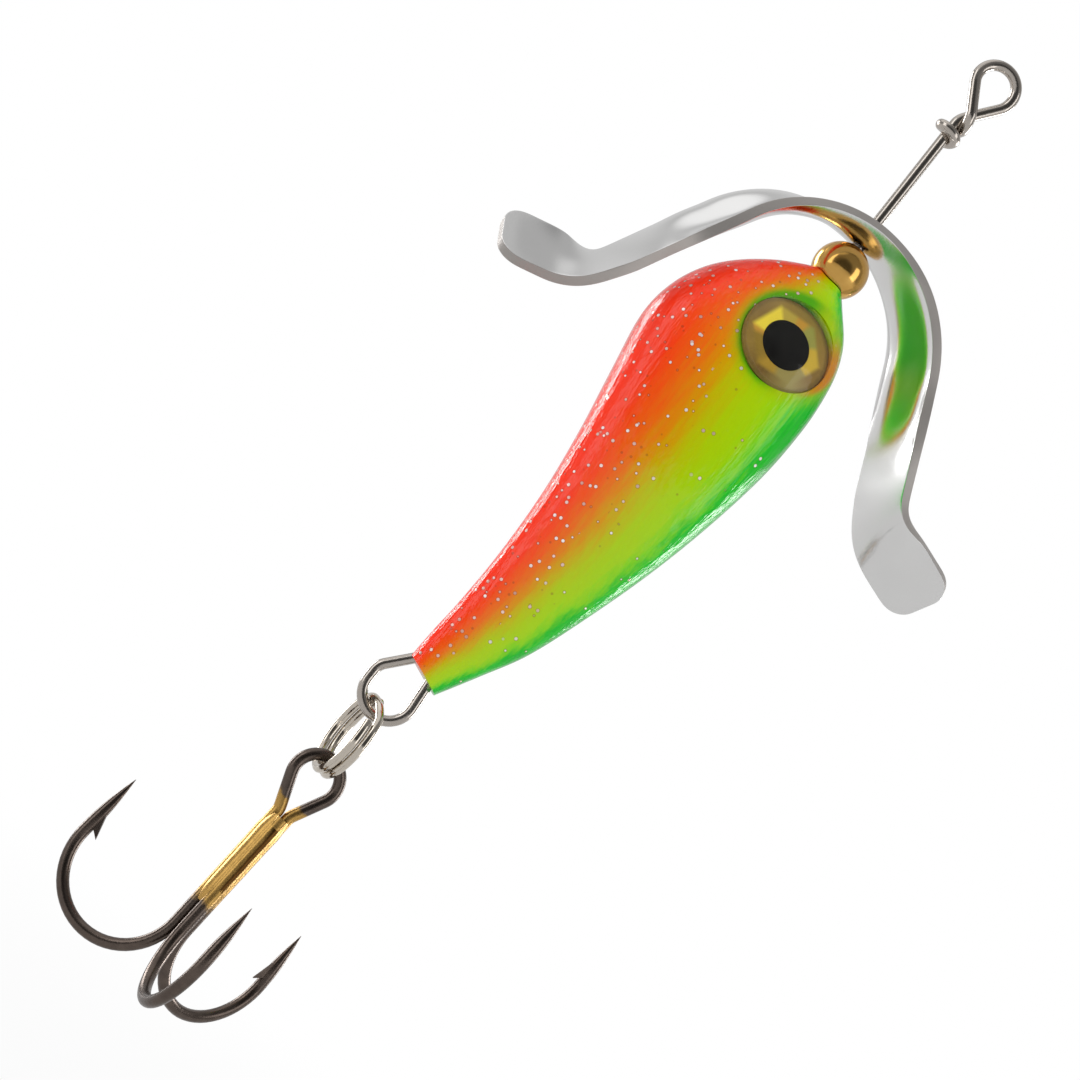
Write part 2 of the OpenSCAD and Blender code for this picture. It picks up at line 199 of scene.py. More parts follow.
# %% Finishes
class Finish(Tree):
    """A tree with names for its commonest nodes."""

    def vector(self, operation, sockets, out=0):
        return self.add("ShaderNodeVectorMath", {"operation": operation}, sockets, out)

    def place(self):
        """Where a point is on the lure, in millimetres."""
        here = self.add("ShaderNodeTexCoord", out="Object")
        return self.vector("SCALE", {0: here, "Scale": 1000})

    def along(self, where, direction):
        """How far a place lies along a direction."""
        return self.vector("DOT_PRODUCT", {0: where, 1: tuple(direction)}, "Value")

    def stretched(self, where, factors):
        return self.vector("MULTIPLY", {0: where, 1: factors})

    def split(self, where):
        """The three parts of a place or of a colour."""
        first = self.add("ShaderNodeSeparateXYZ", None, {0: where})
        return [first.out(axis) for axis in "XYZ"]

    def noise(self, where, scale, detail):
        sockets = {"Vector": where, "Scale": scale, "Detail": detail}
        return self.add("ShaderNodeTexNoise", None, sockets, "Fac")

    def blend(self, share, first, second):
        """A colour that goes from the first to the second as share goes from 0 to 1."""
        return self.add("ShaderNodeMix", {"data_type": "RGBA"}, {0: share, 6: first, 7: second}, 2)

    def ramp(self, value, stops, between="LINEAR"):
        return self.add("ShaderNodeValToRGB", {"stops": stops, "between_stops": between}, {"Fac": value})

    def bump(self, height, depth):
        """A normal for a height from 0 to 1 that stands for so many millimetres."""
        return self.add("ShaderNodeBump", None, {"Strength": 1.0, "Distance": depth * MM, "Height": height})

    def closes(self, shader):
        """The finished material, once a shader is joined to its output."""
        self.add("ShaderNodeOutputMaterial", None, {"Surface": shader})
        print("finish", self.owner.name, "nodes", len(self.nodes))
        return self.owner

    def surface(self, **sockets):
        """A material of one principled shader. A socket's spaces are written as _."""
        named = {name.replace("_", " "): value for name, value in sockets.items()}
        return self.closes(self.add("ShaderNodeBsdfPrincipled", None, named))


print("a finish ends in one surface")

# %% [markdown]
# ## Studio
#
# Bright metal shows the room that it stands in, so the room matters more here than the lamps. The lure
# was shot in a pale tent: a white ground behind it, darker cloth on the camera's side with a dark opening
# for the camera, and a bright roof. The opening makes the dark middle of the bead and the dark lines
# along the wires. A tent of mesh would work too, but a world can be painted by direction alone. Camera
# rays see it white, and matte surfaces get a plain level of light from it.

# %% Tent
MATTE_LEVEL = 0.88
tent = Finish("tent", bpy.data.worlds.new("tent"))
scene.world = tent.owner
toward = tent.add("ShaderNodeTexCoord", out="Generated")
facing = tent.along(toward, -ahead)
opening = facing.rising(0.62, 0.86)
cloth = facing.rising(-0.25, 0.15)
ground = 1 - facing.rising(-0.8, -0.4)
roof = tent.along(toward, cam_up).rising(0.8, 0.92)
tent_light = 0.5 + 0.2 * ground - 0.25 * cloth - 0.18 * opening + 0.6 * roof
rays = tent.add("ShaderNodeLightPath")
seen = rays.sum("MAXIMUM", rays.out("Is Transmission Ray"))
plain = seen.sum("MAXIMUM", MATTE_LEVEL * rays.out("Is Diffuse Ray"))
strength = tent_light.sum("MAXIMUM", plain)
background = tent.add("ShaderNodeBackground", None, {"Color": WHITE, "Strength": strength})
tent.add("ShaderNodeOutputWorld", None, {"Surface": background})
print("tent nodes", len(tent.nodes))

# %% [markdown]
# A pale floor lies under the hook. It glows white for the camera, so that it can't be told from the
# ground behind, but keeps a share of matte near the lure, on which the shadow falls.

# %% Floor
# In metres, as the lamps are
FLOOR_Z, FLOOR_HALF = -0.115, 1.5
SHADE_NEAR, SHADE_FAR = 0.14, 0.4
floor_bm = bmesh.new()
bmesh.ops.create_grid(floor_bm, x_segments=1, y_segments=1, size=FLOOR_HALF)
bmesh.ops.translate(floor_bm, verts=floor_bm.verts, vec=(0, 0, FLOOR_Z))
floor = in_scene("floor", bpy.data.meshes.new("floor"))
floor_bm.to_mesh(floor.data)
floor_bm.free()
pale = Finish("pale_floor")
pale_rays = pale.add("ShaderNodeLightPath")
pale_seen = pale_rays.sum("MAXIMUM", pale_rays.out("Is Transmission Ray"))
matte = pale.add("ShaderNodeBsdfDiffuse", None, {"Color": (0.62, 0.62, 0.62, 1)})
glow = pale.add("ShaderNodeEmission", None, {"Color": WHITE, "Strength": 1.0})
from_lure = pale.vector("LENGTH", {0: pale.add("ShaderNodeTexCoord", out="Object")}, "Value")
glow_share = 0.88 + 0.12 * from_lure.rising(SHADE_NEAR, SHADE_FAR)
floor_mix = pale.add("ShaderNodeMixShader", None, {0: glow_share * pale_seen, 1: matte, 2: glow})
floor.data.materials.append(pale.closes(floor_mix))

# %% [markdown]
# Two tall soft boxes stand in front, one on either side, and draw the bright borders of the wires and the
# bead. Two narrow ones stand behind and below, and draw the bright rims along the back and the belly.

# %% Lamps
LAMP_FAR = 0.5


def soft_box(name, side, degrees, wide, tall, watts, lift=0.0):
    """A tall lamp, so many degrees round from the camera to one side, aimed at the lure."""
    light = bpy.data.lights.new(name, "AREA")
    light.shape = "RECTANGLE"
    light.size = wide
    light.size_y = tall
    light.energy = watts
    way = math.cos(math.radians(degrees)) * -ahead + math.sin(math.radians(degrees)) * Vector((side, 0, 0))
    at = AIM + LAMP_FAR * way + Vector((0, 0, lift))
    lamp = in_scene(name, light)
    lamp.matrix_world = Matrix.Translation(at) @ (AIM - at).to_track_quat("-Z", "Y").to_matrix().to_4x4()
    lamp.visible_camera = False
    print(name, "at", [round(v, 2) for v in at])


for side, name in ((-1, "left"), (1, "right")):
    soft_box(name + "_box", side, 60, 0.22, 0.8, 0.9)
    soft_box(name + "_rim", side, 126, 0.14, 0.6, 2.4, -0.12)

# %% [markdown]
# ## From a mesh to a piece
#
# Each piece is built in millimetres in a bmesh. Short functions then close it, turn its faces outward,
# scale it to metres and let it ride on its CAD body in the place of the nodes that it stands for.
# Extruding a row of edges and moving the new row on is the commonest step, so it gets a function as well.

# %% Rows of edges
WELD = 1e-4


def closed(bm):
    """Merges what lies on one place, and turns all faces outward."""
    bmesh.ops.remove_doubles(bm, verts=bm.verts, dist=WELD)
    bmesh.ops.recalc_face_normals(bm, faces=bm.faces)
    return bm


def verts_of(parts):
    return [part for part in parts if isinstance(part, bmesh.types.BMVert)]


def edges_of(parts):
    return [part for part in parts if isinstance(part, bmesh.types.BMEdge)]


def edges_at(verts):
    """All edges that end at some vertices, each once and in the same order on each run."""
    return list(dict.fromkeys(edge for vert in verts for edge in vert.link_edges))


def onward(bm, edges):
    """Extrudes a row of edges. The new vertices and edges still lie on the old ones."""
    made = bmesh.ops.extrude_edge_only(bm, edges=edges)["geom"]
    verts = verts_of(made)
    fresh = set(verts)
    return verts, [edge for edge in edges_of(made) if fresh.issuperset(edge.verts)]


print("vertices closer than", WELD, "mm are merged")

# %% Finishing a piece
SHARP = 40


def as_object(bm, name, sharp=SHARP):
    """An object of a bmesh in millimetres, smooth but for edges sharper than an angle."""
    bmesh.ops.scale(bm, vec=(MM, MM, MM), verts=bm.verts)
    mesh = bpy.data.meshes.new(name)
    bm.to_mesh(mesh)
    bm.free()
    mesh.shade_smooth()
    mesh.set_sharp_from_angle(angle=math.radians(sharp))
    return in_scene(name, mesh)


def piece(made, body, slot, nodes, *finishes):
    """Lets an object ride on a body for some CAD nodes, with its finishes."""
    for finish in finishes:
        made.data.materials.append(finish)
    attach(made, body)
    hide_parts(*nodes)
    print(made.name, "rides on", body, "faces", len(made.data.polygons))


print("edges over", SHARP, "degrees stay sharp")

# %% [markdown]
# ## Bending wire
#
# A wire could be a curve with a bevel, but round bends of a set angle are hard to lay on one. In the shop
# a wire is bent in a jig: it is pushed straight for a length, then pulled round a peg by an angle. The
# same two moves are bmesh operators. A ring of edges is extruded for a straight run and spun about an
# axis for a bend, and a spin with a drift makes a coil. The bender remembers where the end is and which
# way it faces.

# %% A wire bender
WIRE_SIDES, BEND_STEP = 24, 6


class Bender:
    """A wire that is being bent, with its open end at a place and a heading."""

    def __init__(self, bm, d, at, heading, side):
        self.bm = bm
        self.d = d
        self.at = Vector(at)
        self.heading = Vector(heading).normalized()
        side = Vector(side)
        side = (side - side.dot(self.heading) * self.heading).normalized()
        turn = Matrix((side, self.heading.cross(side), self.heading)).transposed().to_4x4()
        start = Matrix.Translation(self.at) @ turn
        ring = bmesh.ops.create_circle(bm, segments=WIRE_SIDES, radius=d / 2, matrix=start)
        self.ring = edges_at(ring["verts"])

    def verts(self):
        return list(dict.fromkeys(vert for edge in self.ring for vert in edge.verts))

    def run(self, length, d=None, flat=1.0, side=None):
        """Straight on, to another diameter where one is given, pressed flat across a side."""
        new, self.ring = onward(self.bm, self.ring)
        bmesh.ops.translate(self.bm, verts=new, vec=self.heading * length)
        self.at = self.at + self.heading * length
        if d is not None:
            self.scale(d / self.d, flat, side)
            self.d = d
        return self

    def scale(self, factor, flat, side):
        """Shrinks the end about its middle."""
        there = Matrix.Translation(self.at)
        grow = Matrix.Scale(factor, 4)
        if side is not None:
            grow = grow @ Matrix.Scale(flat, 4, Vector(side))
        bmesh.ops.transform(self.bm, matrix=there @ grow @ there.inverted(), verts=self.verts())

    def bend(self, radius, degrees, axis, drift=(0, 0, 0)):
        """Round a peg on an axis, by the right-hand rule, drifting along the way."""
        axis = Vector(axis).normalized()
        angle = math.radians(degrees)
        peg = self.at + axis.cross(self.heading) * math.copysign(radius, degrees)
        steps = max(2, math.ceil(abs(degrees) / BEND_STEP))
        made = bmesh.ops.spin(
            self.bm, geom=self.ring + self.verts(), cent=peg, axis=axis, angle=angle, steps=steps,
            dvec=Vector(drift) / steps, use_merge=False, use_duplicate=False,
        )
        self.ring = edges_of(made["geom_last"])
        turn = Matrix.Rotation(angle, 3, axis)
        self.at = peg + turn @ (self.at - peg) + Vector(drift)
        self.heading = turn @ self.heading
        return self

    def cap(self):
        """Closes the end with a face."""
        bmesh.ops.edgeloop_fill(self.bm, edges=self.ring)
        return self


print("a wire has", WIRE_SIDES, "sides, and a bend a ring every", BEND_STEP, "degrees")

# %% [markdown]
# ## Wire finishes
#
# The shaft and the tail loop are hard drawn stainless wire, which has a warm grey tone, and the split
# ring is plated with nickel. The tent gives them their dark and bright lines, so the finish only adds
# what handling leaves: fine marks in the roughness and the surface, and a slow change of tone.

# %% Wire finishes
def drawn_metal(name, colour, roughness, spread):
    """A bright metal with faint handling marks."""
    finish = Finish(name)
    where = finish.place()
    marks = finish.noise(where, 9.0, 3.0)
    clouds = finish.noise(where, 0.6, 2.0)
    return finish.surface(
        Base_Color=finish.blend(clouds, dimmed(colour, 0.9), colour),
        Metallic=1.0,
        Roughness=roughness + spread * (marks - 0.5),
        Normal=finish.bump(marks, 0.004),
    )


stainless = drawn_metal("stainless_wire", (0.5, 0.455, 0.41, 1), 0.17, 0.1)
nickel_ring = drawn_metal("nickel_ring", (0.66, 0.6, 0.52, 1), 0.1, 0.08)

# %% [markdown]
# ### Shaft
#
# The bender starts at a foot in the casting and runs up the shaft. The wire leans over, turns round the
# line eye and drifts toward the camera as it goes, so that its end passes in front. There it dives round
# the shaft in a wrap: two bends about the shaft with a drift downward, of which the first is steeper.

# %% Shaft wire
SHAFT_D, LINE_EYE_R, WRAP_R = 0.79, 1.53, 0.95
ACROSS, UP = (0, 1, 0), (0, 0, 1)
shaft_bm = bmesh.new()
shaft = Bender(shaft_bm, SHAFT_D, (-3.15, 0, -34.6), (1, 0, 0), ACROSS)
shaft.cap()
shaft.run(1.95).bend(1.2, -90, ACROSS)
shaft.run(29.5).bend(1.3, 37, ACROSS)
shaft.run(2.6).bend(LINE_EYE_R, -247, ACROSS, drift=(0, -0.8, 0))
shaft.run(2.22)
into_wrap = Vector((0.15, 0.885, -0.43)).normalized()
lean = shaft.heading.cross(into_wrap)
shaft.bend(1.1, math.degrees(shaft.heading.angle(into_wrap)), lean, drift=(0, 0, -0.42))
print("wrap starts at", [round(v, 2) for v in shaft.at])
shaft.bend(WRAP_R, 190, UP, drift=(0, 0, -0.68))
shaft.bend(WRAP_R, 240, UP, drift=(0, 0, -0.55))
shaft.run(0.06, SHAFT_D * 0.8).cap()
print("wrap ends at", [round(v, 2) for v in shaft.at])
piece(as_object(closed(shaft_bm), "shaft"), "lure", "stainless_wire", ["shaft_wire"], stainless)

# %% [markdown]
# ### Tail loop
#
# One leg leaves the tail slanting to the back, turns down and goes round a half ring, and the other leg
# runs up again close to the belly. The bender makes it in the order in which the jig would.

# %% Tail loop
TAIL_D, TAIL_LOOP_R, LEG_LEAN = 0.74, 1.78, 41
tail_bm = bmesh.new()
tail = Bender(tail_bm, TAIL_D, (-5.765, 0, -53.4), (0, 0, -1), ACROSS)
tail.cap()
tail.run(1.8).bend(TAIL_D, LEG_LEAN, ACROSS)
tail.run(2.4).bend(1.2, -LEG_LEAN, ACROSS)
tail.run(0.6).bend(TAIL_LOOP_R, -180, ACROSS)
tail.bend(1.5, -5, ACROSS)
tail.run(4.2).cap()
piece(as_object(closed(tail_bm), "tail_wire"), "lure", "stainless_wire", ["tail_loop"], stainless)
print("tail loop ends at", [round(v, 2) for v in tail.at])

# %% [markdown]
# ### Split ring
#
# A spring ring of two turns that lie side by side. One long spin would give a plain coil, but a split
# ring is flat for most of its way and steps across in one place, so the drift goes into one short bend.
# The ring is bent at the origin and then carried to the tail loop, turned a little toward the camera as
# the chain hangs.

# %% Split ring
LOOP_X, RING_Z, CHAIN_TURN = -6.365, -62.6064, 16
RING_WIRE, RING_R, RING_PITCH = 0.6, 2.925, 0.64
# Degrees: where the turns cross, half of the crossing, how far past it the wire starts, and what a turn lacks
CROSS_AT, CROSS, PAST_CROSS, SHORT = 65, 25, 8, 10
END_D, END_L = RING_WIRE * 0.6, 0.06
FORTH = (1, 0, 0)
chain = Matrix.Rotation(math.radians(CHAIN_TURN), 4, "Z")
ring_turn = Matrix.Translation((LOOP_X, 0, RING_Z)) @ chain
ring_from = math.radians(CROSS_AT + CROSS + PAST_CROSS)
ring_start = Vector((RING_PITCH / 2, -RING_R * math.cos(ring_from), RING_R * math.sin(ring_from)))
ring_head = Vector((0, math.sin(ring_from), math.cos(ring_from)))
flat_way = 360 - 2 * CROSS - SHORT
ring_bm = bmesh.new()
ring = Bender(ring_bm, END_D, ring_start, ring_head, FORTH)
ring.cap()
ring.run(END_L, RING_WIRE)
ring.bend(RING_R, -flat_way, FORTH)
ring.bend(RING_R, -2 * CROSS, FORTH, drift=(-RING_PITCH, 0, 0))
ring.bend(RING_R, -flat_way, FORTH)
ring.run(END_L, END_D).cap()
bmesh.ops.transform(ring_bm, matrix=ring_turn, verts=ring_bm.verts)
piece(as_object(closed(ring_bm), "spring_ring"), "split_ring", "nickel", ["split_ring"], nickel_ring)

# %% [markdown]
# ## Treble hook
#
# A treble hook is one wire with the eye and two points, and a third hook brazed into the groove between
# its shanks. Black nickel covers the wire, and the brazing brass runs over the shanks up to the necks of
# the eye. The brass could be a second mesh over the wire, but its border is soft and uneven, so on the
# wire's own finish it is a mask, by the distance along the shanks and away from their middle.

# %% Black nickel
HOOK_Z, HOOK_LEAN = -66.2151, math.radians(4)
BRASS = paint(206, 164, 92)
hook_turn = Matrix.Translation((LOOP_X, 0, HOOK_Z)) @ chain @ Matrix.Rotation(HOOK_LEAN, 4, "Y")
shank_way = (hook_turn.to_3x3() @ Vector(UP)).normalized()
shank_sides = [hook_turn.to_3x3().col[k].copy() for k in (0, 1)]
shank_zero = shank_way.dot(hook_turn.translation)


def off_middle(finish, where):
    """How far a place lies from the middle of the shanks, forth and across."""
    return [finish.along(where, way) - way.dot(hook_turn.translation) for way in shank_sides]


def hook_metal():
    finish = Finish("black_nickel")
    where = finish.place()
    ragged = finish.noise(where, 1.6, 3.0)
    fine = finish.noise(where, 12.0, 2.0)
    shank = finish.along(where, shank_way) - shank_zero + 1.6 * (ragged - 0.5)
    forth, across = off_middle(finish, where)
    away = (forth * forth + across * across) ** 0.5
    brass = shank.rising(-11.0, -10.0) * (1 - shank.rising(-2.4, -1.9)) * (1 - away.rising(1.4, 1.6))
    dark = finish.blend(ragged, (0.075, 0.06, 0.052, 1), (0.16, 0.125, 0.105, 1))
    gold = finish.blend(ragged, dimmed(BRASS, 0.6), BRASS)
    return finish.surface(
        Base_Color=finish.blend(brass, dark, gold),
        Metallic=1.0,
        Roughness=0.2 + 0.1 * fine + 0.1 * brass,
        Normal=finish.bump(fine + 2 * brass * ragged, 0.006),
    )


black_nickel = hook_metal()

# %% [markdown]
# The brass itself is cast, not drawn: pitted, and uneven in tone. Down the crest of the front shank runs a
# dark streak of painted shade, which stands for a groove in the brass.

# %% Brazing brass
def braze_metal():
    finish = Finish("braze")
    where = finish.place()
    pits = finish.noise(where, 4.0, 3.0)
    clouds = finish.noise(where, 1.2, 2.0)
    forth, across = off_middle(finish, where)
    off_crest = (forth - 0.08 + 0.16 * (clouds - 0.5)).sum("ABSOLUTE")
    # Painted shade: a dark streak down the crest of the front shank, for a groove in the brass
    groove_shade = (1 - off_crest.rising(0.1, 0.24)) * (1 - across.rising(-0.9, -0.7))
    gold = finish.blend(clouds, dimmed(BRASS, 0.66), BRASS)
    return finish.surface(
        Base_Color=finish.blend(0.92 * groove_shade, gold, paint(84, 52, 22)),
        Metallic=1.0,
        Roughness=0.24 + 0.14 * pits,
        Normal=finish.bump(pits, 0.012),
    )


braze_brass = braze_metal()

# %% [markdown]
# ### Limbs
#
# Each limb is a shank, a round bend and a spear point. The point tapers over several short runs and is
# pressed a little flat. Its barb is a sliver that is cut up on the side of the shank: a triangle on
# either side, bridged.

# %% Hook limbs
HOOK_WIRE, SHANK_GAP, SHANK_L = 0.85, 0.9, 9.48
BEND_R, BEND_TURN = 4.38, 183
TAPER = [0.86, 0.84, 0.76, 0.63, 0.46, 0.26, 0.03]
PRESSED = 0.97
# A barb's corners: how far up the point, how far toward the shank, and how wide as a share of the wire
BARB = [(0.62, 0.1, 0.42), (0, 1.02, 0.12), (2.0, 0.2, 0.3)]


def barb(bm, at, up, out):
    """A sliver on the side of the shank, thin at its free end."""
    across = up.cross(out)
    corners = [at + rise * up - inward * out for rise, inward, _ in BARB]
    spread = [HOOK_WIRE * share for _, _, share in BARB]
    left, right = [
        [bm.verts.new(corner + across * (sign * wide)) for corner, wide in zip(corners, spread)]
        for sign in (-0.5, 0.5)
    ]
    sides = [bm.faces.new(left), bm.faces.new(right)]
    bmesh.ops.bridge_loops(bm, edges=[edge for face in sides for edge in face.edges])


def limb(bm, at, out, spear, top=0, free=False):
    """One hook from the top of its shank to its point, bending outward."""
    out = Vector(out).normalized()
    axis = Vector(UP).cross(out)
    wire = Bender(bm, HOOK_WIRE, Vector(at) + Vector((0, 0, top)), (0, 0, -1), FORTH)
    if free:
        wire.cap()
    wire.run(SHANK_L + top)
    wire.bend(BEND_R, -BEND_TURN, axis)
    root, up = wire.at.copy(), wire.heading.copy()
    for size in TAPER:
        wire.run(spear / len(TAPER), size, PRESSED, axis)
    wire.cap()
    barb(bm, root, up, out)
    print("point at", [round(v, 2) for v in wire.at])


print("a point tapers over", len(TAPER), "runs")

# %% [markdown]
# ### Eye and pair
#
# The eye is bent on its own: a neck, a straight leg, the round, and a leg and a neck back. A leg is a
# line that touches two circles from opposite sides, so its length and the turn of the neck follow from
# where the circles' middles lie. The eye ends where the shanks of the pair start, and merging doubles
# joins them into one wire.

# %% Pair of hooks with the eye
EYE_R, NECK_R, NECK_Z = 1.65, 1.0, -3.19
SPEARS = (4.15, 4.6)
NECK_X = SHANK_GAP / 2 + NECK_R
NECK_FAR = math.hypot(NECK_X, NECK_Z)
LEG = math.sqrt(NECK_FAR**2 - (EYE_R + NECK_R) ** 2)
NECK_TURN = math.degrees(math.asin((EYE_R + NECK_R) / NECK_FAR) - math.atan2(NECK_X, -NECK_Z))
shank_tops = [(SHANK_GAP / 2, 0, NECK_Z), (-SHANK_GAP / 2, 0, NECK_Z)]
pair_bm = bmesh.new()
for at, angle, spear in zip(shank_tops, (30, 150), SPEARS):
    way = math.radians(angle)
    limb(pair_bm, at, (math.cos(way), math.sin(way), 0), spear)
eye = Bender(pair_bm, HOOK_WIRE, shank_tops[1], UP, FORTH)
eye.bend(NECK_R, -NECK_TURN, ACROSS).run(LEG)
eye.bend(EYE_R, 180 + 2 * NECK_TURN, ACROSS)
eye.run(LEG).bend(NECK_R, -NECK_TURN, ACROSS)
print("eye's leg", round(LEG, 2), "neck turns by", round(NECK_TURN, 1))
bmesh.ops.transform(pair_bm, matrix=hook_turn, verts=pair_bm.verts)
piece(as_object(closed(pair_bm), "hook_pair"), "hook", "hook_wire", ["double_hook"], black_nickel)

# %% [markdown]
# The third hook lies in the groove in front of the pair. Its shank starts a little lower, and its top is
# closed.

# %% Third hook
BUNDLE = SHANK_GAP / math.sqrt(3)
single_bm = bmesh.new()
limb(single_bm, (0, -1.5 * BUNDLE, NECK_Z), (0, -1, 0), 4.0, top=-0.15, free=True)
bmesh.ops.transform(single_bm, matrix=hook_turn, verts=single_bm.verts)
piece(as_object(closed(single_bm), "hook_single"), "hook", "hook_wire", ["single_hook"], black_nickel)

# %% [markdown]
# ### Braze
#
# The brass fills the grooves of the bundle and covers the shanks with a film. Three tubes with a Boolean
# would leave sharp valleys, so its outline is drawn: three lobes with filled valleys. It is extruded down
# the shanks in steps whose size varies a little, as brass does when it sets, and tapers onto the wire at
# both ends.

# %% Braze
BRAZE_TOP, BRAZE_L, FILM, VALLEY = NECK_Z - 0.15, 7.3, 0.02, 0.8
START = 0.8
SWELLS = [1.2, 1.07, 0.985, 0.985, 1.0, 0.99, 1.01, 0.99, 1.0, 0.99, 0.94, 0.85]


def lobes(angle):
    """Distance of the outline from the bundle's middle."""
    off = (angle + math.pi / 2 + math.pi / 3) % (2 * math.pi / 3) - math.pi / 3
    film = HOOK_WIRE / 2 + FILM
    inside = max(film**2 - (BUNDLE * math.sin(off)) ** 2, 0)
    return max(BUNDLE * math.cos(off) + math.sqrt(inside), VALLEY)


braze_bm = bmesh.new()
outline = bmesh.ops.create_circle(braze_bm, segments=72, radius=1)["verts"]
for vert in outline:
    vert.co *= START * lobes(math.atan2(vert.co.y, vert.co.x))
bmesh.ops.translate(braze_bm, verts=outline, vec=(0, -BUNDLE / 2, BRAZE_TOP))
rim = edges_at(outline)
bmesh.ops.edgeloop_fill(braze_bm, edges=rim)
to_bundle = Matrix.Translation((0, -BUNDLE / 2, 0))
for swell in SWELLS:
    new, rim = onward(braze_bm, rim)
    bmesh.ops.translate(braze_bm, verts=new, vec=(0, 0, -BRAZE_L / len(SWELLS)))
    grow = to_bundle @ Matrix.Diagonal((swell, swell, 1, 1)) @ to_bundle.inverted()
    bmesh.ops.transform(braze_bm, matrix=grow, verts=new)
bmesh.ops.edgeloop_fill(braze_bm, edges=rim)
bmesh.ops.transform(braze_bm, matrix=hook_turn, verts=braze_bm.verts)
piece(as_object(closed(braze_bm), "braze_fill"), "hook", "braze", ["hook_braze"], braze_brass)

# %% [markdown]
# ## Brass bead
#
# The propeller turns on a drilled brass ball. A sphere with a Boolean hole would have poor faces at the
# mouths, so half of its outline, a round arc between the two mouths closed by the line of the bore, is
# spun about the shaft.

# %% Bead
BEAD_R, BEAD_Z, BORE_R = 2.0, -17.2, 0.45


def bead_metal():
    finish = Finish("bead_brass")
    where = finish.place()
    scuffs = finish.noise(where, 6.0, 4.0)
    tarnish = finish.noise(where, 0.9, 2.0)
    return finish.surface(
        Base_Color=finish.blend(tarnish, paint(190, 140, 66), paint(232, 188, 106)),
        Metallic=1.0,
        Roughness=0.1 + 0.08 * scuffs,
        Normal=finish.bump(scuffs, 0.004),
    )


bead_bm = bmesh.new()
mouth = math.asin(BORE_R / BEAD_R)
first = bead_bm.verts.new((BEAD_R * math.sin(mouth), 0, BEAD_Z + BEAD_R * math.cos(mouth)))
arc = bmesh.ops.spin(
    bead_bm, geom=[first], cent=(0, 0, BEAD_Z), axis=ACROSS, angle=math.pi - 2 * mouth, steps=32
)
bead_bm.edges.new((verts_of(arc["geom_last"])[0], first))
bmesh.ops.spin(
    bead_bm, geom=bead_bm.verts[:] + bead_bm.edges[:], cent=(0, 0, 0), axis=UP,
    angle=2 * math.pi, steps=64, use_merge=True,
)
piece(as_object(closed(bead_bm), "ball"), "bead", "brass", ["bead"], bead_metal())

# %% [markdown]
# ## Propeller
#
# One strip of sheet is bent over the bead into two arms with a paddle at each end. A gutter is pressed
# into its crown and fades along the arms, where the section has a slight wave, and each half is twisted,
# so that the paddles drive it round. The strip is described by its length from the shaft, as on the flat
# blank: one function gives the place and turn there, one the half width, and one the height of the
# section.

# %% Bend of the strip
CROWN_R, CROWN_Z = 9.6, -13.825
ARM, ARM_L, FOOT_R, PADDLE, PADDLE_L = math.radians(64), 8.5, 5.2, math.radians(17), 4.5
ARM_TWIST, PADDLE_TWIST, TWIST_LATE = math.radians(17), math.radians(47), 0.8
CROWN_S = CROWN_R * ARM
ARM_S = CROWN_S + ARM_L
FOOT_S = ARM_S + FOOT_R * (ARM - PADDLE)
TIP_S = FOOT_S + PADDLE_L


def ease(f):
    """From 0 to 1, slow at both ends."""
    f = min(1.0, max(0.0, f))
    return f * f * (3 - 2 * f)


def strip_at(s):
    """Place and turn of the strip at a length from the shaft."""
    slope = ARM * min(s, CROWN_S) / CROWN_S
    at = Vector((CROWN_R * math.sin(slope), 0, CROWN_R * (math.cos(slope) - 1)))
    down = Vector((math.cos(ARM), 0, -math.sin(ARM)))
    at += down * (min(max(s, CROWN_S), ARM_S) - CROWN_S)
    if s > ARM_S:
        slope = ARM + (PADDLE - ARM) * (min(s, FOOT_S) - ARM_S) / (FOOT_S - ARM_S)
        at += FOOT_R * Vector((math.sin(ARM) - math.sin(slope), 0, math.cos(ARM) - math.cos(slope)))
    if s > FOOT_S:
        at += Vector((math.cos(PADDLE), 0, -math.sin(PADDLE))) * (s - FOOT_S)
    twist = ARM_TWIST * min(s, CROWN_S) / CROWN_S
    twist += (PADDLE_TWIST - ARM_TWIST) * ease((s - ARM_S - TWIST_LATE) / (FOOT_S - ARM_S))
    turn = Matrix.Rotation(slope, 4, "Y") @ Matrix.Rotation(-twist, 4, "X")
    return Matrix.Translation(at + Vector((0, 0, CROWN_Z))) @ turn


print("half of the blank", round(TIP_S, 2), "long")

# %% Section of the strip
STRIP_W, TIP_ROUND, TIP_CUT = 4.9, 1.65, 0.62
# The gutter's depth at the shaft and on the arm, how far it arches over from there, and where it ends
GUTTER, GUTTER_ARM, ARCHED, GUTTER_END = 0.95, 0.4, 0.65, 19.5
# A fold at the foot, and a wave across the arm
FOLD, FOLD_END = 0.2, 27
WAVE, WAVE_END = 0.8, 16.8


def strip_half(s):
    """Half width of the strip at a length from the shaft."""
    tip = max(0.0, (s - TIP_S + TIP_ROUND) / TIP_ROUND)
    return STRIP_W / 2 * (1 - TIP_CUT * (1 - math.sqrt(max(0.0, 1 - tip * tip))))


def strip_rise(s, v):
    """Height of the section at a share of its half width: the fading gutter and the wave."""
    gutter = GUTTER + (GUTTER_ARM - GUTTER) * ease(s / 9) - ARCHED * ease((s - 10) / 5)
    gutter *= ease((GUTTER_END - s) / 4)
    fold = FOLD * ease((s - GUTTER_END) / 2) * ease((FOLD_END - s) / 3)
    wave = WAVE * ease(s / 6) * ease((WAVE_END - s) / 4)
    return wave * (v**3 - v) - (gutter + fold) * (1 - v * v)


depths = [round(-strip_rise(s, 0), 2) for s in (0, CROWN_S, ARM_S)]
print("gutter at the shaft, at the arm and at the foot", depths)

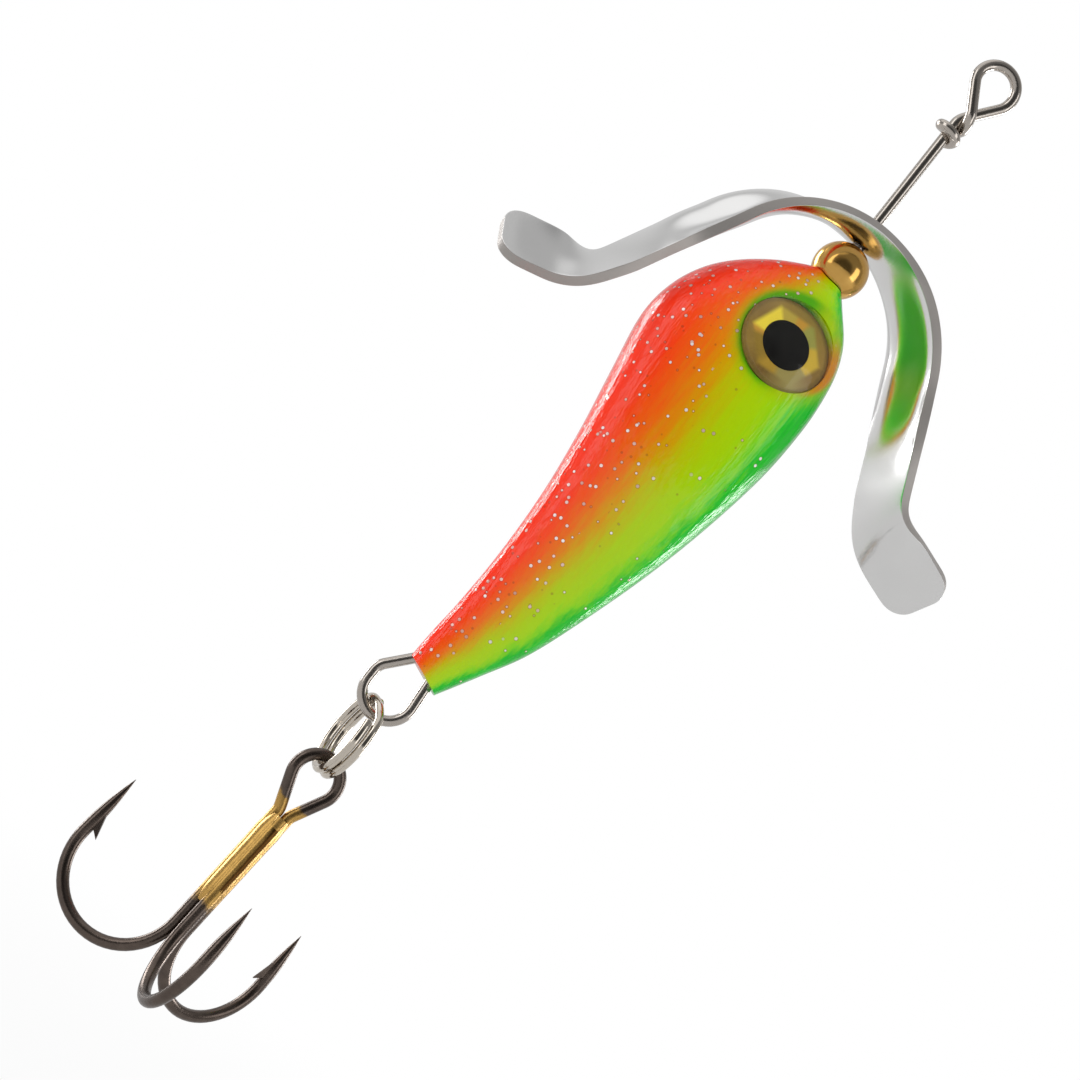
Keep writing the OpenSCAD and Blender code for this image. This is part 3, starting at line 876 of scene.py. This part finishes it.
# %% [markdown]
# A row of edges across the strip is extruded along that bend step by step, and each step moves the row
# on, turns it with the strip and fits its width and height. The other half is the same one turned half
# round. The bore is made by taking out the middle vertex and setting those around it on a circle.

# %% Propeller strip
ROWS, STEP_L, BORE, TURNED = 12, 0.7, 0.5, math.radians(14)
tip_from = TIP_S - TIP_ROUND
steps = [0.55, 1.2] + [1.2 + STEP_L * k for k in range(1, 38)]
steps = [s for s in steps if s < tip_from]
steps += [tip_from + TIP_ROUND * math.sin(math.radians(18 * k)) for k in range(6)]
strip_bm = bmesh.new()
shares = [2 * k / ROWS - 1 for k in range(ROWS + 1)]
row = [strip_bm.verts.new((0, strip_half(0) * v, CROWN_Z + strip_rise(0, v))) for v in shares]
edges = [strip_bm.edges.new(pair) for pair in zip(row, row[1:])]
before = 0.0
for s in steps:
    new, edges = onward(strip_bm, edges)
    back = strip_at(before).inverted()
    for vert in new:
        v = (back @ vert.co).y / strip_half(before)
        vert.co = strip_at(s) @ Vector((0, strip_half(s) * v, strip_rise(s, v)))
    before = s
half = strip_bm.verts[:] + strip_bm.edges[:] + strip_bm.faces[:]
other = verts_of(bmesh.ops.duplicate(strip_bm, geom=half)["geom"])
bmesh.ops.rotate(strip_bm, cent=(0, 0, 0), matrix=Matrix.Rotation(math.pi, 3, "Z"), verts=other)
bmesh.ops.remove_doubles(strip_bm, verts=strip_bm.verts, dist=1e-3)
middle = min(strip_bm.verts, key=lambda vert: vert.co.xy.length)
around = {vert for face in middle.link_faces for vert in face.verts if vert is not middle}
bmesh.ops.delete(strip_bm, geom=[middle], context="VERTS")
for vert in around:
    vert.co.xy = vert.co.xy.normalized() * BORE
bmesh.ops.recalc_face_normals(strip_bm, faces=strip_bm.faces)
if sum(face.normal.z for face in strip_bm.faces) < 0:
    bmesh.ops.reverse_faces(strip_bm, faces=strip_bm.faces)
bmesh.ops.rotate(strip_bm, cent=(0, 0, 0), matrix=Matrix.Rotation(TURNED, 3, "Z"), verts=strip_bm.verts)
strip = as_object(strip_bm, "strip", 180)
print("strip of", len(strip.data.polygons), "faces before its thickness")

# %% [markdown]
# A Solidify modifier gives the sheet its thickness, with a duller finish on the cut edge, and a bevel and
# a subdivision round it. The plating is bright, with fine scratches and a faint haze.

# %% Propeller sheet and finish
STRIP_T, EDGE_BREAK, SMOOTH = 0.72, 0.06, 2


def plate(name, colour, roughness, scratch, metallic=1.0):
    """Plated or bare sheet, scratched along its handling."""
    finish = Finish(name)
    where = finish.place()
    fine = finish.noise(finish.stretched(where, (6.0, 1.0, 6.0)), 1.5, 4.0)
    haze = finish.noise(where, 0.35, 2.0)
    return finish.surface(
        Base_Color=finish.blend(haze, dimmed(colour, 0.93), (*colour, 1)),
        Metallic=metallic,
        Roughness=roughness + scratch * fine * haze,
        Normal=finish.bump(fine, 0.003),
    )


sheet = strip.modifiers.new("sheet", "SOLIDIFY")
sheet.thickness = STRIP_T * MM
sheet.offset = 0
sheet.use_even_offset = True
sheet.material_offset_rim = 1
broken = strip.modifiers.new("broken_edge", "BEVEL")
broken.width = EDGE_BREAK * MM
broken.segments = 2
broken.limit_method = "ANGLE"
broken.angle_limit = math.radians(50)
smooth = strip.modifiers.new("smooth", "SUBSURF")
smooth.levels = SMOOTH
smooth.render_levels = SMOOTH
bright_plate = plate("nickel_plate", (0.79, 0.785, 0.78), 0.12, 0.1)
cut_edge = plate("cut_edge", (0.4, 0.375, 0.355), 0.4, 0.2, 0.6)
piece(strip, "propeller", "nickel", ["propeller"], bright_plate, cut_edge)

# %% [markdown]
# ## Body
#
# The body is a casting in a minnow's shape: blunt and deep at the head, slim at the tail, with its belly
# line swept back. A subdivided box would need many nudges to follow both outlines, so the body is lofted:
# a ring with a full, nearly square-shouldered outline is extruded from the nose to the tail, and each new
# ring is fitted to a smooth curve through a dozen stations.

# %% Stations of the body
NOSE_Z, BODY_L, BODY_H, BODY_T = -18.45, 38.0, 13.4, 9.8
# In percent of length, depth and thickness: way down, outlines of back and belly, half thickness
STATIONS = [
    (0, -14, 7, 14), (3.5, -30, 15, 23), (8, -45, 25, 31), (13, -56, 31, 39), (19, -63, 34, 46.5),
    (26, -65, 35, 50), (36, -60, 33.5, 49), (49, -53, 27.5, 44), (62, -48, 19, 35.5), (75, -46, 8, 26),
    (86, -46.5, -3, 20), (94, -48, -15, 16.5), (104, -49, -31, 14),
]


def station(u):
    """Smooth values between the stations: way, middle, half depth, half thickness."""
    last = len(STATIONS) - 1
    i = min(int(u), last - 1)
    f = u - i
    a, b, c, d = [Vector(STATIONS[min(max(k, 0), last)]) for k in (i - 1, i, i + 1, i + 2)]
    at = b + f * (c - a) / 2 + f**2 * (2 * a - 5 * b + 4 * c - d) / 2 + f**3 * (3 * b - a - 3 * c + d) / 2
    way, back, belly, thick = at / 100
    return NOSE_Z - BODY_L * way, BODY_H * (back + belly) / 2, BODY_H * (belly - back) / 2, BODY_T * thick


def ring_frame(u):
    """Carries a ring of radius 1 to its place and size on the body."""
    z, middle, depth, thick = station(u)
    return Matrix.Translation((middle, 0, z)) @ Matrix.Diagonal((depth, thick, 1, 1))


print("deepest half", round(max(station(u)[2] for u in range(len(STATIONS))), 2))

# %% Lofted body
FULL, BODY_SIDES, DIVISIONS = 3.1, 112, 9
body_bm = bmesh.new()
outline = bmesh.ops.create_circle(body_bm, segments=BODY_SIDES, radius=1)["verts"]
for vert in outline:
    vert.co.xy = [math.copysign(abs(v) ** (2 / FULL), v) for v in vert.co.xy]
loop = edges_at(outline)
bmesh.ops.transform(body_bm, matrix=ring_frame(0), verts=outline)
bmesh.ops.edgeloop_fill(body_bm, edges=loop)
for k in range(1, DIVISIONS * (len(STATIONS) - 1) + 1):
    new, loop = onward(body_bm, loop)
    fit = ring_frame(k / DIVISIONS) @ ring_frame((k - 1) / DIVISIONS).inverted()
    bmesh.ops.transform(body_bm, matrix=fit, verts=new)
print("lofted faces", len(body_bm.faces))

# %% [markdown]
# The tail is cut off on a slant. A bisecting plane clears what lies beyond it, the hole is filled, and
# its rim gets a bevel, as the lacquer leaves it.

# %% Tail cut
TAIL_SLANT, TAIL_EDGE = math.radians(22), 0.35
tail_end = Vector((-0.4 * BODY_H, 0, NOSE_Z - BODY_L))
slant = Vector((-math.sin(TAIL_SLANT), 0, -math.cos(TAIL_SLANT)))
cut = bmesh.ops.bisect_plane(
    body_bm, geom=body_bm.verts[:] + body_bm.edges[:] + body_bm.faces[:],
    plane_co=tail_end, plane_no=slant, clear_outer=True,
)
tail_rim = edges_of(cut["geom_cut"])
bmesh.ops.edgeloop_fill(body_bm, edges=tail_rim)
bmesh.ops.bevel(
    body_bm, geom=tail_rim, offset=TAIL_EDGE, offset_type="OFFSET", affect="EDGES", segments=4,
    profile=0.5, material=-1, clamp_overlap=True,
)
casting = as_object(closed(body_bm), "casting")
print("casting faces", len(casting.data.polygons))

# %% [markdown]
# ### Sockets and seat
#
# The seat of the bead and the sockets of the eyes are cut with a Boolean. A socket's cutter is spun from
# its outline, as on a lathe, and flares at the top, because lacquer rounds the lip. The seat's ball is
# turned a little about the shaft, so that none of its edges lies on an edge of the body, which could
# leave a stray face.

# %% Cutters
EYE_D, EYE_SINK = 6.7, 0.95
EYE_AT, EYE_TURN, EYE_TILT = (0.3, -4.4, NOSE_Z - 6.05), math.radians(12), math.radians(70)
LENS_R = EYE_D / 2
SOCKET_R = LENS_R + 0.03
SOCKET_FLOOR, LIP_H, CUTTER_H = -0.02, 0.3, 3
FLARE_W, FLARE_H, FLARE_TOP = 0.16, 0.3, 0.1
SEAT_GAP, SEAT_TURN = 0.1, 0.05
LATHE_STEPS = 96


def eye_place(side):
    """Where an eye stands: side 1 is the right flank, -1 the left."""
    turn = Matrix.Rotation(EYE_TURN, 4, "Z") @ Matrix.Rotation(EYE_TILT, 4, "X")
    right = Matrix.Translation(EYE_AT) @ turn @ Matrix.Translation((0, 0, -EYE_SINK))
    return Matrix.Diagonal((1, side, 1, 1)) @ right


def lathe(bm, outline, matrix):
    """Spins an outline of radius and height about its own axis, and puts it in place."""
    old = set(bm.verts)
    verts = [bm.verts.new((r, 0, h)) for r, h in outline]
    line = [bm.edges.new(pair) for pair in zip(verts, verts[1:])]
    bmesh.ops.spin(
        bm, geom=verts + line, cent=(0, 0, 0), axis=UP, angle=2 * math.pi,
        steps=LATHE_STEPS, use_merge=True,
    )
    bmesh.ops.remove_doubles(bm, verts=[vert for vert in bm.verts if vert not in old], dist=WELD)
    bmesh.ops.transform(bm, matrix=matrix, verts=[vert for vert in bm.verts if vert not in old])


cutter_bm = bmesh.new()
flare = [math.radians(a) for a in range(0, 76, 15)]
lip = [(SOCKET_R + FLARE_W * (1 - math.cos(a)), LIP_H + FLARE_H * math.sin(a)) for a in flare]
top_r = lip[-1][0] + FLARE_TOP
socket = [(0, SOCKET_FLOOR), (SOCKET_R, SOCKET_FLOOR), *lip, (top_r, CUTTER_H), (0, CUTTER_H)]
for side in (1, -1):
    lathe(cutter_bm, socket, eye_place(side))
seat = Matrix.Translation((0, 0, BEAD_Z)) @ Matrix.Rotation(SEAT_TURN, 4, "Z")
bmesh.ops.create_uvsphere(cutter_bm, u_segments=64, v_segments=40, radius=BEAD_R + SEAT_GAP, matrix=seat)
cutter = as_object(closed(cutter_bm), "cutters")
print("cutter faces", len(cutter.data.polygons))

# %% Sockets and seat
BODY_SHARP = 38
sockets = casting.modifiers.new("sockets", "BOOLEAN")
sockets.object = cutter
sockets.operation = "DIFFERENCE"
sockets.solver = "MANIFOLD"
bpy.context.view_layer.update()
hollowed = bpy.data.meshes.new_from_object(casting.evaluated_get(bpy.context.evaluated_depsgraph_get()))
minnow = in_scene("minnow", hollowed)
for spare in (cutter, casting):
    bpy.data.objects.remove(spare)
hollowed.materials.clear()
hollowed.shade_smooth()
hollowed.set_sharp_from_angle(angle=math.radians(BODY_SHARP))
print("body faces", len(hollowed.polygons))

# %% [markdown]
# ### Paint
#
# The back is sprayed red-orange, the flank goes through orange and ochre to yellow-green, and the belly
# is green. The bands follow the body, so a plain gradient would not do. The colour goes by a share: how
# far a point lies from the back's outline to the belly's at its own height. Two ramps give those outlines
# along the body, and a third the colour.

# %% Bands of the spray
END, LOW, SPAN = STATIONS[-1][0], -80, 130
BANDS = [
    (0.0, paint(255, 46, 20)), (0.16, paint(255, 58, 18)), (0.27, paint(244, 88, 16)),
    (0.36, paint(232, 116, 12)), (0.45, paint(214, 150, 0)), (0.55, paint(188, 188, 0)),
    (0.66, paint(172, 206, 0)), (0.77, paint(164, 212, 4)), (0.85, paint(128, 212, 16)),
    (0.92, paint(22, 192, 30)), (1.0, paint(0, 172, 36)),
]


def body_outline(finish, down, which):
    """The outline of the back or the belly at a share of the way down, by a ramp in grey."""
    greys = [(row[0] / END, ((row[which] - LOW) / SPAN,) * 3 + (1,)) for row in STATIONS]
    level = finish.ramp(down / (END / 100), greys, "CARDINAL")
    return (level * (SPAN / 100) + LOW / 100) * BODY_H


def from_back(finish, where, x, z):
    """A share from 0 at the back to 1 at the belly, with the streaks that a spray leaves."""
    down = (NOSE_Z - z) / BODY_L
    back, belly = [body_outline(finish, down, which) for which in (1, 2)]
    drift = finish.noise(finish.stretched(where, (1.0, 1.0, 0.35)), 0.5, 3.0) - 0.5
    streaks = finish.noise(finish.stretched(where, (3.6, 3.6, 0.25)), 1.0, 4.0) - 0.5
    return (x - back) / (belly - back) + 0.06 * drift + 0.15 * streaks


print("bands", len(BANDS))

# %% [markdown]
# Round the socket the spray is greener at the rear, where a real airbrushed halo is deepened by a ring of
# painted shade from the socket's wall, and a painted orange rim shadow hugs the lens in front. Glitter is
# scattered in the lacquer, dense in the orange and sparse in the green: cells of a Voronoi pattern light
# up where a speck lies near the surface, and round each speck a painted shadow darkens the lacquer.

# %% Tints and glitter
TINT_X, TINT_Z = 0.4, NOSE_Z - 5.95
# Where the halo, the painted shade ring and the painted rim shadow begin to fade, and where they end
TINT_AND_SHADE_REACH = [(3.3, 4.7), (3.5, 4.05), (3.45, 3.85)]
SPECK_CELLS = 1.7


def socket_tints_and_shade(finish, colour, x, z):
    """Green halo round the eye, a ring of painted shade at the rear and a painted rim shadow in front."""
    dx, dz = x - TINT_X, z - TINT_Z
    far = (dx * dx + dz * dz) ** 0.5
    halo, ring, lip = [1 - far.rising(*reach) for reach in TINT_AND_SHADE_REACH]
    rear = 1 - (dx / far).rising(-0.2, 0.45)
    rim_shadow_side = (dx / far).rising(0.55, 1.0)
    colour = finish.blend(halo * rear * 0.6, colour, paint(110, 190, 0))
    # A darker green ring of painted shade, where the socket's wall shades the rear
    colour = finish.blend(ring * rear * 0.85, colour, paint(56, 158, 8))
    colour = finish.blend(halo * (1 - rear) * 0.5, colour, paint(176, 180, 0))
    # A painted orange rim shadow that hugs the lens in front
    return finish.blend(lip * rim_shadow_side * 0.8, colour, paint(206, 96, 0))


def glitter(finish, colour, where, share):
    """The colour with its specks and a painted shadow round each, and where the specks are."""
    pattern = {"Vector": where, "Scale": SPECK_CELLS, "Randomness": 1.0}
    cells = finish.add("ShaderNodeTexVoronoi", None, pattern)
    luck, tone, strength = finish.split(cells.out("Color"))
    chosen = (luck - 0.75 * share.rising(0.3, 0.6)).rising(0.08, 0.1)
    speck = (1 - cells.out("Distance").rising(0.17, 0.21)) * chosen
    # Round each speck a ring of painted shadow
    speck_shadow = (1 - cells.out("Distance").rising(0.22, 0.3)) * chosen
    silver = finish.ramp(tone, [
        (0.0, paint(214, 184, 172)), (0.35, paint(255, 222, 212)),
        (0.7, paint(255, 246, 240)), (1.0, WHITE),
    ])
    # The painted shadow round each speck darkens the lacquer
    colour = finish.blend(0.45 * speck_shadow, colour, paint(120, 60, 30))
    return finish.blend(speck * (0.5 + 0.5 * strength), colour, silver), speck


print("a speck's cell is", round(1 / SPECK_CELLS, 2), "mm across")

# %% [markdown]
# The lacquer over it all is glossy and slightly uneven: a long ripple runs along the body, in the surface
# and in the roughness, and the specks stand a little proud and shine a little as metal does.

# %% Body finish
def body_paint():
    finish = Finish("minnow_paint")
    where = finish.place()
    x, _, z = finish.split(where)
    share = from_back(finish, where, x, z)
    colour = socket_tints_and_shade(finish, finish.ramp(share, BANDS), x, z)
    colour, speck = glitter(finish, colour, where, share)
    ripple = finish.noise(finish.stretched(where, (3.6, 3.6, 0.6)), 1.0, 3.0)
    return finish.surface(
        Base_Color=colour,
        Roughness=0.05 + 0.06 * ripple,
        Metallic=0.2 * speck,
        Specular_IOR_Level=0.4,
        Normal=finish.bump(ripple + 0.2 * speck, 0.07),
    )


piece(minnow, "lure", "body_paint", ["body"], body_paint())

# %% [markdown]
# ## Eyes
#
# Each eye is a gold foil disc with a printed black pupil under a clear dome of resin. The foil looks like
# a cut stone: a six-sided field of facets round the pupil, and an olive rim. The bright and dull tones of
# the facets are painted reflections. No image is needed for it: the angle round the pupil goes through a
# ramp of facets, and the distance to the sides of a hexagon tells the field from the rim. Both flanks
# share one finish, so the left one is read as the right one's mirror image.

# %% Foil facets and their painted reflections
GOLD, SAGE, AMBER = paint(214, 182, 56), paint(154, 158, 76), paint(206, 152, 48)
STRAW, LEMON, BRONZE = paint(192, 170, 66), paint(252, 230, 64), paint(146, 118, 34)
OCHRE, KHAKI = paint(178, 142, 36), paint(154, 144, 84)
OLIVE, DRAB, UMBER = paint(148, 120, 52), paint(126, 98, 42), paint(106, 76, 24)
# Each facet runs from one share of a turn to another, in the tone of its painted reflection
FACET_REFLECTIONS = [
    (0.0, 0.065, GOLD), (0.09, 0.175, SAGE), (0.2, 0.24, AMBER), (0.26, 0.325, STRAW),
    (0.345, 0.49, LEMON), (0.51, 0.515, AMBER), (0.54, 0.64, BRONZE), (0.68, 0.74, OCHRE),
    (0.77, 0.915, KHAKI), (0.93, 1.0, GOLD),
]
PAINTED_FACET_FIELD = [(place, tone) for start, end, tone in FACET_REFLECTIONS for place in (start, end)]
RIM = [(0.0, OLIVE), (0.34, OLIVE), (0.42, DRAB), (0.58, OLIVE), (0.7, UMBER), (0.83, KHAKI), (0.92, DRAB)]
print("facets", len(FACET_REFLECTIONS), "stops round the rim", len(RIM))

# %% Foil finish
HEXAGON, PRINT_TURN = (38, 98, 158), 8


def on_foil(finish, where):
    """A place in the foil's own plane, from the middle of the eye."""
    x, y, z = finish.split(where)
    right = finish.add("ShaderNodeCombineXYZ", None, {"X": x, "Y": -1 * y.sum("ABSOLUTE"), "Z": z})
    stand = eye_place(1)
    ways = [stand.to_3x3().col[k] for k in (0, 1)]
    return [finish.along(right, way) - way.dot(stand.translation) for way in ways]


def eye_foil():
    finish = Finish("eye_foil")
    where = finish.place()
    u, v = on_foil(finish, where)
    turns = [math.radians(degrees) for degrees in HEXAGON]
    first, second, third = [(u * math.cos(a) + v * math.sin(a)).sum("ABSOLUTE") for a in turns]
    facet = 1 - first.sum("MAXIMUM", second).sum("MAXIMUM", third).rising(2.2, 2.6)
    angle = (v.sum("ARCTAN2", u) / (2 * math.pi) - PRINT_TURN / 360).sum("FRACT")
    # The field's facets take their painted reflections by angle round the pupil
    colour = finish.blend(facet, finish.ramp(angle, RIM), finish.ramp(angle, PAINTED_FACET_FIELD))
    rim = ((u * u + v * v) ** 0.5).rising(2.95, 3.2)
    grain = finish.noise(where, 5.0, 3.0)
    colour = finish.blend(0.55 * rim, colour, paint(84, 66, 24))
    colour = finish.blend(0.2 * grain, colour, paint(214, 178, 82))
    return finish.surface(
        Base_Color=colour,
        Metallic=0.1,
        Roughness=0.35 + 0.2 * grain,
        Normal=finish.bump(grain + facet, 0.02),
    )


foil_gold = eye_foil()

# %% [markdown]
# The pupil is a dull black print. The dome is a thin clear shell for the light: it lets the foil through
# and mirrors the tent as much as resin does. Refracting glass could do that too, but it would shift the
# print.

# %% Pupil and resin
def eye_pupil():
    finish = Finish("eye_pupil")
    haze = finish.noise(finish.place(), 1.2, 2.0)
    return finish.surface(
        Base_Color=finish.blend(haze, (0.003, 0.003, 0.004, 1), (0.014, 0.014, 0.015, 1)),
        Roughness=0.35 + 0.2 * haze,
        Specular_IOR_Level=0.1,
    )


def clear_resin():
    finish = Finish("eye_lens")
    swirl = finish.bump(finish.noise(finish.place(), 0.8, 2.0), 0.02)
    gloss = finish.add("ShaderNodeBsdfGlossy", None, {"Color": WHITE, "Roughness": 0.03, "Normal": swirl})
    through = finish.add("ShaderNodeBsdfTransparent", None, {"Color": (0.97, 0.96, 0.9, 1)})
    edge_on = finish.add("ShaderNodeFresnel", None, {"IOR": 1.5})
    mirrored = (0.5 * edge_on).sum("MINIMUM", 0.12)
    return finish.closes(finish.add("ShaderNodeMixShader", None, {0: mirrored, 1: through, 2: gloss}))


pupil_black = eye_pupil()
resin = clear_resin()

# %% [markdown]
# ### Foil, pupil and lens
#
# All three are turned on the same lathe as the socket's cutter, each from its own outline. The pupil is a
# little wider one way than the other, as the print is.

# %% Eye pieces
FOIL_T, PUPIL_R, DOME, RIM_H, DOME_STEPS = 0.25, 1.74, 0.85, 0.5, 16
LENS_FLOOR, LENS_TOP = FOIL_T - 0.1, FOIL_T + RIM_H + DOME
DOME_R = (LENS_R**2 + DOME**2) / (2 * DOME)
PUPIL_LEAN, PUPIL_WIDE = math.radians(128), (1.02, 1.04)
egg = Matrix.Rotation(PUPIL_LEAN, 4, "Z") @ Matrix.Diagonal((*PUPIL_WIDE, 1, 1))
foil_outline = [
    (0, 0), (LENS_R - 0.05, 0), (LENS_R - 0.01, 0.06), (LENS_R - 0.01, FOIL_T - 0.04),
    (LENS_R - 0.08, FOIL_T), (0, FOIL_T),
]
pupil_outline = [
    (0, FOIL_T), (PUPIL_R, FOIL_T), (PUPIL_R - 0.04, FOIL_T + 0.07), (PUPIL_R - 0.2, FOIL_T + 0.09),
    (0, FOIL_T + 0.1),
]
reach = math.asin((LENS_R - 0.01) / DOME_R)
bows = [reach * k / DOME_STEPS for k in range(DOME_STEPS + 1)]
lens_outline = [
    *[(DOME_R * math.sin(a), LENS_TOP - DOME_R * (1 - math.cos(a))) for a in bows],
    (LENS_R + 0.025, FOIL_T + RIM_H - 0.08), (LENS_R + 0.02, LENS_FLOOR), (0, LENS_FLOOR),
]


def turned(name, outline, matrix):
    bm = bmesh.new()
    lathe(bm, outline, matrix)
    return as_object(closed(bm), name)


for side, flank in ((1, "right"), (-1, "left")):
    stand = eye_place(side)
    foil = turned(flank + "_foil", foil_outline, stand)
    piece(foil, "lure", "eye_foil", [flank + "_eye_foil"], foil_gold)
    pupil = turned(flank + "_pupil", pupil_outline, stand @ egg)
    piece(pupil, "lure", "eye_pupil", [flank + "_eye_pupil"], pupil_black)
    lens = turned(flank + "_lens", lens_outline, stand)
    piece(lens, "lure", "eye_lens", [flank + "_eye_lens"], resin)

# %% Update the scene
bpy.context.view_layer.update()
